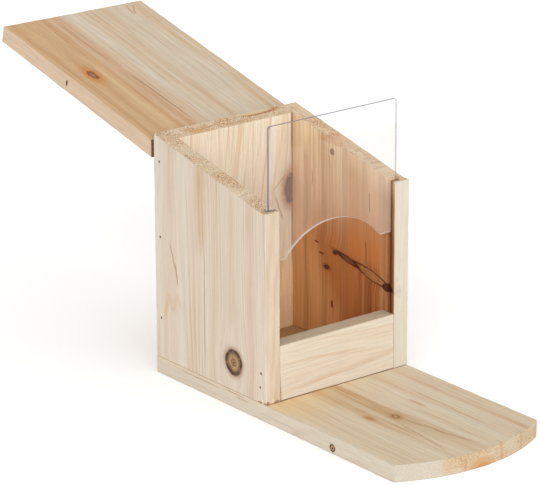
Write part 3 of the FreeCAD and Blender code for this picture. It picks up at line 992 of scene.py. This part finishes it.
def clear_sheet():
    """Clear acrylic, violet grey along its cut edges, with a painted white highlight along the cut arch. A
    faint glow over its faces is a painted reflection of the pale room that they mirror, stronger in the
    lower part and with wiped smudges in it."""
    g = Graph("clear_acrylic")
    place = g.object_place()
    x, z = (g.dot(place, axis) * (1 / MM) for axis in (ALONG_X, ALONG_Z))
    normal = g.node("ShaderNodeTexCoord", {}).outputs["Normal"]
    edge = g.step(g.size(g.dot(normal, ALONG_Y)), 0.8, 0.4)
    # the cut arch's edge is painted white as a highlight; the other cut edges are violet grey
    arch_highlight = g.step(z, ARCH_TOP / MM + 0.6, ARCH_TOP / MM)
    edge_and_highlight_tone = g.mix(arch_highlight, tone(120, 114, 132), tone(218, 210, 208))
    g.give(g.mix(edge, tone(0, 0, 0), edge_and_highlight_tone), g.shader.inputs["Base Color"])
    g.give(edge * 0.5, g.shader.inputs["Specular IOR Level"])
    # painted reflection: the faces glow in the pale room's colour wherever they are not cut edges
    g.shader.inputs["Emission Color"].default_value = tone(226, 210, 192)
    g.give(PAINTED_REFLECTION_GLOW - edge * PAINTED_REFLECTION_GLOW, g.shader.inputs["Emission Strength"])
    # wiped smudges, and a painted reflection that is stronger in the lower part and towards +x
    wipe = g.noise(g.vector(x * 0.03, z * 0.012, 0.0), 3.0, 2.0)
    painted_reflection_lower = g.step(z, PAINTED_REFLECTION_TOP / MM, PAINTED_REFLECTION_TOP / MM - 1.0)
    smudge_and_painted_reflection = painted_reflection_lower * (g.step(x, 0.0, 50.0) * 0.05 + 0.05) + 0.02 + g.step(wipe, 0.3, 0.7) * 0.04
    plain_side = g.step(x, window_high.x / MM - 0.5, window_high.x / MM - 0.1)
    g.give(edge * (0.8 - plain_side * 0.45 - arch_highlight * 0.25) + smudge_and_painted_reflection, g.shader.inputs["Alpha"])
    g.give(edge * 0.3 + 0.06, g.shader.inputs["Roughness"])
    g.shader.inputs["IOR"].default_value = 1.49
    return g.material


def steel(name, colour, roughness, metallic):
    """Brushed steel, a little darker where grime lies."""
    g = Graph(name)
    place = g.object_place()
    x, y, z = (g.dot(place, axis) * (1 / MM) for axis in (ALONG_X, ALONG_Y, ALONG_Z))
    grime = g.noise(g.vector(x * 0.6, y * 0.6, z * 0.6), 5.0, 4.0)
    dark = tuple(c * 0.6 for c in colour[:3]) + (1.0,)
    g.give(g.mix(g.step(grime, 0.45, 0.75) * 0.5, colour, dark), g.shader.inputs["Base Color"])
    g.give(g.step(grime, 0.2, 0.8) * 0.2 + roughness, g.shader.inputs["Roughness"])
    g.shader.inputs["Metallic"].default_value = metallic
    brushed = g.noise(g.vector(x * 0.4, y * 4.0, z * 8.0), 9.0, 2.0)
    g.bump(brushed, 0.02 * MM, 0.6)
    return g.material


def dress(name, material, bevel=0.0):
    """Gives a CAD node its material, and softens its sharp edges."""
    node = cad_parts[name]
    node.data.materials.clear()
    node.data.materials.append(material)
    if bevel:
        weld = node.modifiers.new("weld", "WELD")
        weld.merge_threshold = 0.002 * MM
        soft = node.modifiers.new("soft edges", "BEVEL")
        soft.width = bevel
        soft.segments = 2
        soft.limit_method = "ANGLE"
        soft.angle_limit = math.radians(40)


zinc = steel("zinc_plate", tone(186, 186, 182), 0.3, 1.0)
nail_steel = steel("dull_nail_steel", tone(98, 54, 34), 0.55, 0.3)
dress("window_panel", clear_sheet(), 0.12 * MM)
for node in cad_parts:
    if "nails" in node:
        dress(node, nail_steel)
    elif "hinge" in node:
        dress(node, zinc)

# ------------------------------------------------------------------ floor, light and camera
floor_mesh = bmesh.new()
bmesh.ops.create_grid(floor_mesh, x_segments=1, y_segments=1, size=12.0)
floor = as_object("floor", floor_mesh)
floor_paint = Graph("floor_paint")
floor_paint.shader.inputs["Base Color"].default_value = (0.96, 0.96, 0.96, 1)
floor_paint.shader.inputs["Emission Color"].default_value = (1, 1, 1, 1)
floor_paint.shader.inputs["Emission Strength"].default_value = 0.12
floor_paint.shader.inputs["Roughness"].default_value = 0.9
floor_paint.shader.inputs["Specular IOR Level"].default_value = 0.1
floor.data.materials.append(floor_paint.material)

world = bpy.data.worlds.new("studio")
bpy.context.scene.world = world
world.use_nodes = True
sky = world.node_tree.nodes["Background"]
sky.inputs["Color"].default_value = (1, 1, 1, 1)
sky.inputs["Strength"].default_value = 0.6


def sun(name, azimuth, elevation, strength, spread):
    """A soft sun. Azimuth 0 shines along +Y, as from a camera in front."""
    light = bpy.data.lights.new(name, "SUN")
    light.energy = strength
    light.angle = math.radians(spread)
    lamp = bpy.data.objects.new(name, light)
    bpy.context.scene.collection.objects.link(lamp)
    a, e = math.radians(azimuth), math.radians(elevation)
    toward = Vector((math.sin(a) * math.cos(e), -math.cos(a) * math.cos(e), math.sin(e)))
    lamp.rotation_euler = toward.to_track_quat("Z", "Y").to_euler()


sun("key", -52, 28, 1.35, 40)
sun("front", -14, 20, 1.25, 50)
sun("fill", 35, 34, 0.6, 50)

CAMERA_AZIMUTH = -38.2
CAMERA_ELEVATION = 18.6
CAMERA_ROLL = -0.22
CAMERA_DISTANCE = 2.079
CAMERA_LENS = 210.5
CAMERA_AIM = Vector((-0.0336, 0.030, 0.1115))

camera_data = bpy.data.cameras.new("camera")
camera_data.lens = CAMERA_LENS
camera_data.sensor_width = 36
camera_data.clip_start = 0.1
camera_data.clip_end = 50
camera = bpy.data.objects.new("camera", camera_data)
bpy.context.scene.collection.objects.link(camera)
azimuth, elevation = math.radians(CAMERA_AZIMUTH), math.radians(CAMERA_ELEVATION)
back_way = Vector((
    math.sin(azimuth) * math.cos(elevation),
    -math.cos(azimuth) * math.cos(elevation),
    math.sin(elevation)))
camera.location = CAMERA_AIM + back_way * CAMERA_DISTANCE
turn = (-back_way).to_track_quat("-Z", "Y").to_matrix()
turn = turn @ Matrix.Rotation(math.radians(CAMERA_ROLL), 3, "Z")
camera.rotation_euler = turn.to_euler()
bpy.context.scene.camera = camera
bpy.context.scene.view_settings.view_transform = "Standard"
